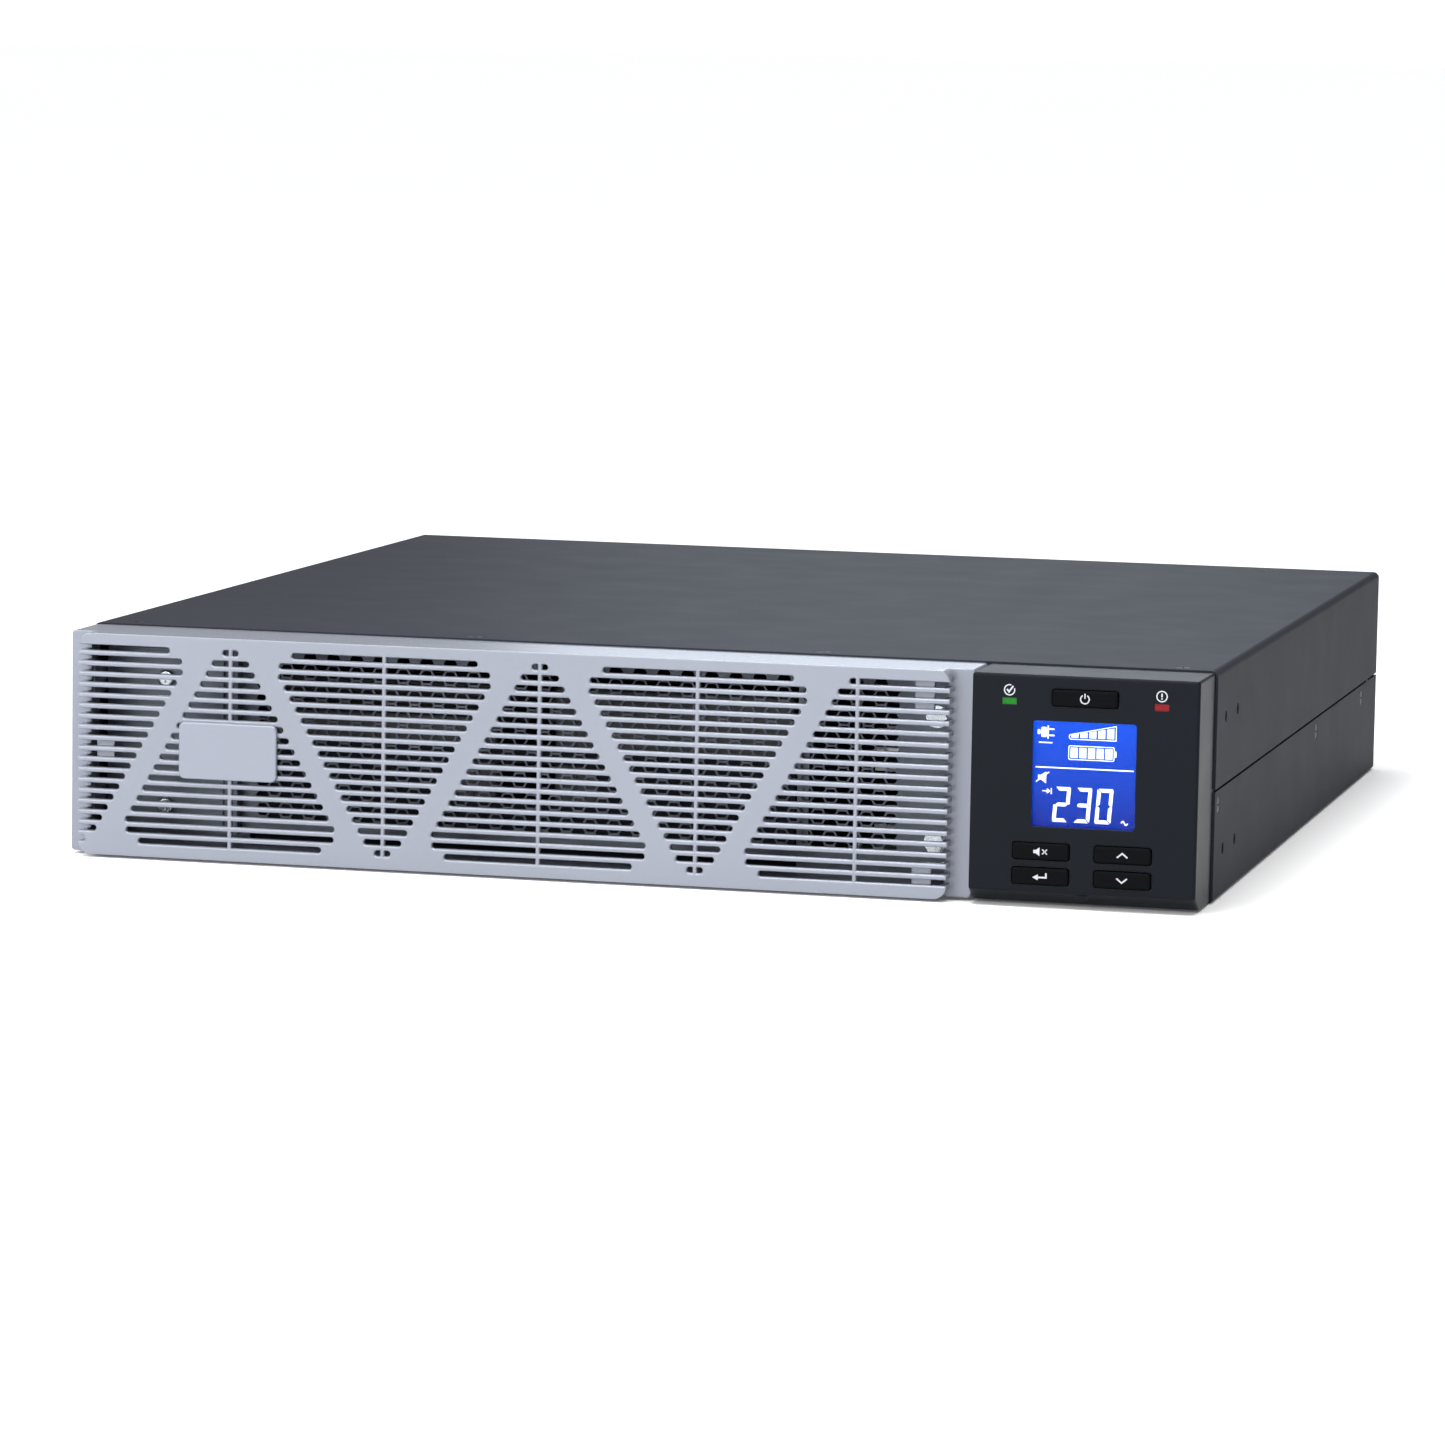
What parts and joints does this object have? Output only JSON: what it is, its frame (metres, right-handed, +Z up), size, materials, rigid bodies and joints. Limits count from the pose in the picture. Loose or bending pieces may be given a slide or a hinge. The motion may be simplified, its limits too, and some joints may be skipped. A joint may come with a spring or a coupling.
{
  "type": "uninterruptible power supply",
  "caption": "Flat rack-mount power supply with a louvred pull-off front bezel, a square display and key panel, an internal battery pack and a rear panel with outlets, inlet and cooling fan.",
  "frame": {"origin": "middle of the steel case's underside, in the plane that it rests on", "axes": "+X to the right seen from the front, +Y from the bezel to the rear panel, +Z up"},
  "size_m": [0.438, 0.4655, 0.0865],
  "materials": {
    "case_paint": "fine-textured dark slate powder coat",
    "zinc_steel": "zinc-plated sheet steel",
    "bezel_silver": "satin blue-grey silver paint on moulded plastic",
    "badge_satin": "satin silver",
    "panel_black": "fine-textured near-black plastic",
    "key_black": "soft-touch black",
    "clear_window": "clear",
    "display_glass": "blue backlit display",
    "light_green": "green light pipe",
    "light_red": "red light pipe",
    "board_green": "solder mask",
    "black_plastic": "moulded black",
    "screw_black": "black-zinc steel",
    "screw_bright": "bright zinc",
    "battery_case": "dark grey battery case",
    "lead_rubber": "insulated lead",
    "connector_grey": "grey connector housing",
    "fin_aluminium": "extruded aluminium",
    "can_sleeve": "capacitor sleeve",
    "ferrite": "coated powder core",
    "copper_wire": "enamelled copper",
    "relay_blue": "relay case",
    "guard_wire": "nickel-plated wire",
    "terminal_green": "green terminal"
  },
  "bodies": {
    "case": {"chassis_base": "case_paint", "top_cover": "case_paint", "rear_panel": "case_paint", "front_bulkhead": "zinc_steel", "bay_divider": "zinc_steel", "rack_ear_nuts": "zinc_steel", "case_screws": "screw_black", "pan_screws": "screw_bright", "hex_screws": "screw_bright", "battery_door": "zinc_steel", "connector_cover": "zinc_steel", "panel_housing": "panel_black", "panel_back_cover": "panel_black", "lcd_window": "clear_window", "lcd_module": "display_glass", "ready_light": "light_green", "fault_light": "light_red", "panel_board": "board_green", "panel_ribbon": "connector_grey", "battery_tray": "case_paint", "battery_strap": "zinc_steel", "battery_links": "lead_rubber", "battery_leads": "lead_rubber", "battery_plug": "connector_grey", "battery_socket": "connector_grey", "inverter_leads": "lead_rubber", "main_board": "board_green", "board_standoffs": "guard_wire", "board_screws": "screw_bright", "heatsinks": "fin_aluminium", "power_transistors": "black_plastic", "bus_capacitors": "can_sleeve", "choke_cores": "ferrite", "choke_windings": "copper_wire", "charger_transformer": "ferrite", "transfer_relays": "relay_blue", "control_board": "board_green", "filter_board": "board_green", "fan_housing": "black_plastic", "fan_guard": "guard_wire", "ac_inlet": "black_plastic", "ac_outlets": "black_plastic", "circuit_breaker": "black_plastic", "usb_port": "guard_wire", "serial_port": "guard_wire", "stop_terminal": "terminal_green", "slot_cover": "case_paint", "battery_front_left": "battery_case", "battery_front_right": "battery_case", "battery_rear_left": "battery_case", "battery_rear_right": "battery_case"},
    "bezel": {"front_bezel": "bezel_silver", "badge_plate": "badge_satin"},
    "fan_blades": {"fan_rotor": "black_plastic"},
    "breaker_reset": {"breaker_button": "key_black"},
    "power_button": {"power_button": "key_black"},
    "mute_button": {"mute_button": "key_black"},
    "enter_button": {"enter_button": "key_black"},
    "up_button": {"up_button": "key_black"},
    "down_button": {"down_button": "key_black"}
  },
  "joints": [
    {"name": "bezel_pull", "type": "slide", "parent": "case", "child": "bezel", "axis": [0, -1, 0], "range_m": [0, 0.06]},
    {"name": "power_press", "type": "slide", "parent": "case", "child": "power_button", "axis": [0, 1, 0], "range_m": [0, 0.0012], "stiffness_N_per_m": 900},
    {"name": "mute_press", "type": "slide", "parent": "case", "child": "mute_button", "axis": [0, 1, 0], "range_m": [0, 0.0012], "stiffness_N_per_m": 900},
    {"name": "enter_press", "type": "slide", "parent": "case", "child": "enter_button", "axis": [0, 1, 0], "range_m": [0, 0.0012], "stiffness_N_per_m": 900},
    {"name": "up_press", "type": "slide", "parent": "case", "child": "up_button", "axis": [0, 1, 0], "range_m": [0, 0.0012], "stiffness_N_per_m": 900},
    {"name": "down_press", "type": "slide", "parent": "case", "child": "down_button", "axis": [0, 1, 0], "range_m": [0, 0.0012], "stiffness_N_per_m": 900},
    {"name": "fan_spin", "type": "hinge", "parent": "case", "child": "fan_blades", "pos_m": [0.163, 0.2, 0.04325], "axis": [0, 1, 0], "continuous": true},
    {"name": "breaker_trip", "type": "slide", "parent": "case", "child": "breaker_reset", "axis": [0, 1, 0], "range_m": [0, 0.003]}
  ]
}
